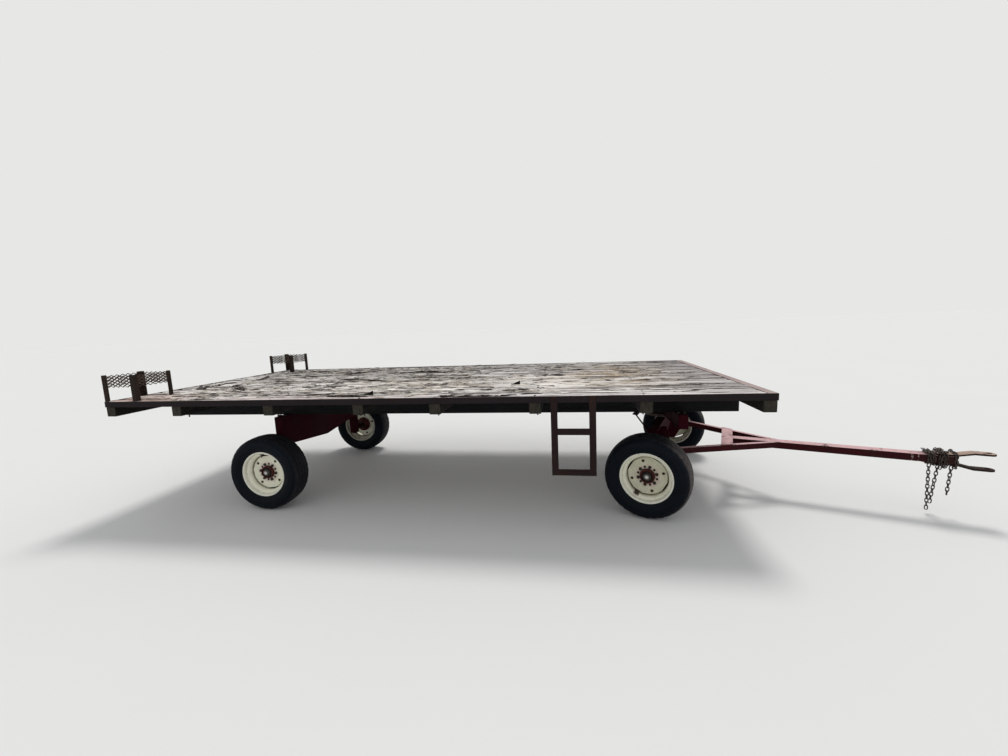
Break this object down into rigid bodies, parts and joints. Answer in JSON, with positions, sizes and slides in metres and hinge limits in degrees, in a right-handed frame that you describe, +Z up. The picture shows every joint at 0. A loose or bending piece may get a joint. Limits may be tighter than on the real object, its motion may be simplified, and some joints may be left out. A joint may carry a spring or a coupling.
{
  "type": "hay wagon",
  "caption": "Flat plank-deck farm wagon on a four-wheel running gear whose front axle turns with its tongue, with a side ladder and rear corner baskets.",
  "frame": {"origin": "on the floor, below the middle of the whole wagon with its tongue", "axes": "+X forward along the wagon's bed, +Y to the wagon's left, +Z up"},
  "size_m": [7.1848, 2.444, 1.312],
  "materials": {
    "deck_wood": "weathered grey-tan planks, split and dry",
    "timber": "dark old softwood with paler sawn ends",
    "rust_paint": "rust-brown painted angle iron",
    "rust_mesh": "rusted expanded metal",
    "gear_red": "dark red gear paint, dusty and chipped",
    "tongue_red": "sun-faded red paint",
    "worn_steel": "worn steel with rust",
    "chain_steel": "rusty chain",
    "tyre": "ribbed farm tyre, dusty",
    "rim_cream": "cream wheel enamel with rust at its holes",
    "hub_red": "red hub, steel cap"
  },
  "bodies": {
    "bed": {"basket_mesh_left": "rust_mesh", "basket_mesh_right": "rust_mesh", "basket_posts_left": "rust_paint", "basket_posts_right": "rust_paint", "cross_members": "timber", "deck_boards": "deck_wood", "front_bolster": "gear_red", "kingpin": "worn_steel", "ladder": "rust_paint", "rail_front": "rust_paint", "rail_left": "rust_paint", "rail_rear": "rust_paint", "rail_right": "rust_paint", "reach": "gear_red", "reach_pin": "worn_steel", "reach_sockets": "gear_red", "rear_beam": "gear_red", "rear_legs": "gear_red", "rear_spindles": "gear_red", "sills": "timber", "turntable_upper": "worn_steel"},
    "front_axle": {"front_beam": "gear_red", "turntable_lower": "worn_steel", "front_cheeks": "gear_red", "front_spindles": "gear_red", "hinge_pins": "worn_steel", "sway_bar": "gear_red", "hound_rods": "gear_red"},
    "tongue": {"chain_front": "chain_steel", "chain_middle": "chain_steel", "chain_rear": "chain_steel", "chain_wraps": "chain_steel", "hitch_straps": "worn_steel", "tongue_arm_left": "tongue_red", "tongue_arm_right": "tongue_red", "tongue_cross_plate": "tongue_red", "tongue_pole": "tongue_red"},
    "wheel_rear_right": {"tyre_rear_right": "tyre", "rim_rear_right": "rim_cream", "hub_rear_right": "hub_red"},
    "wheel_rear_left": {"tyre_rear_left": "tyre", "rim_rear_left": "rim_cream", "hub_rear_left": "hub_red"},
    "wheel_front_right": {"tyre_front_right": "tyre", "rim_front_right": "rim_cream", "hub_front_right": "hub_red"},
    "wheel_front_left": {"tyre_front_left": "tyre", "rim_front_left": "rim_cream", "hub_front_left": "hub_red"}
  },
  "joints": [
    {"name": "steer", "type": "hinge", "parent": "bed", "child": "front_axle", "pos_m": [1.413, 0, 0.6687], "axis": [0, 0, 1], "range_deg": [-25.3, 64.7]},
    {"name": "tongue_lift", "type": "hinge", "parent": "front_axle", "child": "tongue", "pos_m": [1.50715, -0.03371, 0.46], "axis": [-0.3371, -0.9415, 0], "range_deg": [-9.5, 25]},
    {"name": "roll_rear_right", "type": "hinge", "parent": "bed", "child": "wheel_rear_right", "pos_m": [-2.3, -0.9, 0.343], "axis": [0, 1, 0], "continuous": true},
    {"name": "roll_rear_left", "type": "hinge", "parent": "bed", "child": "wheel_rear_left", "pos_m": [-2.3, 0.9, 0.343], "axis": [0, 1, 0], "continuous": true},
    {"name": "roll_front_right", "type": "hinge", "parent": "front_axle", "child": "wheel_front_right", "pos_m": [1.10961, -0.84732, 0.343], "axis": [0.3371, 0.9415, 0], "continuous": true},
    {"name": "roll_front_left", "type": "hinge", "parent": "front_axle", "child": "wheel_front_left", "pos_m": [1.71639, 0.84732, 0.343], "axis": [0.3371, 0.9415, 0], "continuous": true}
  ]
}
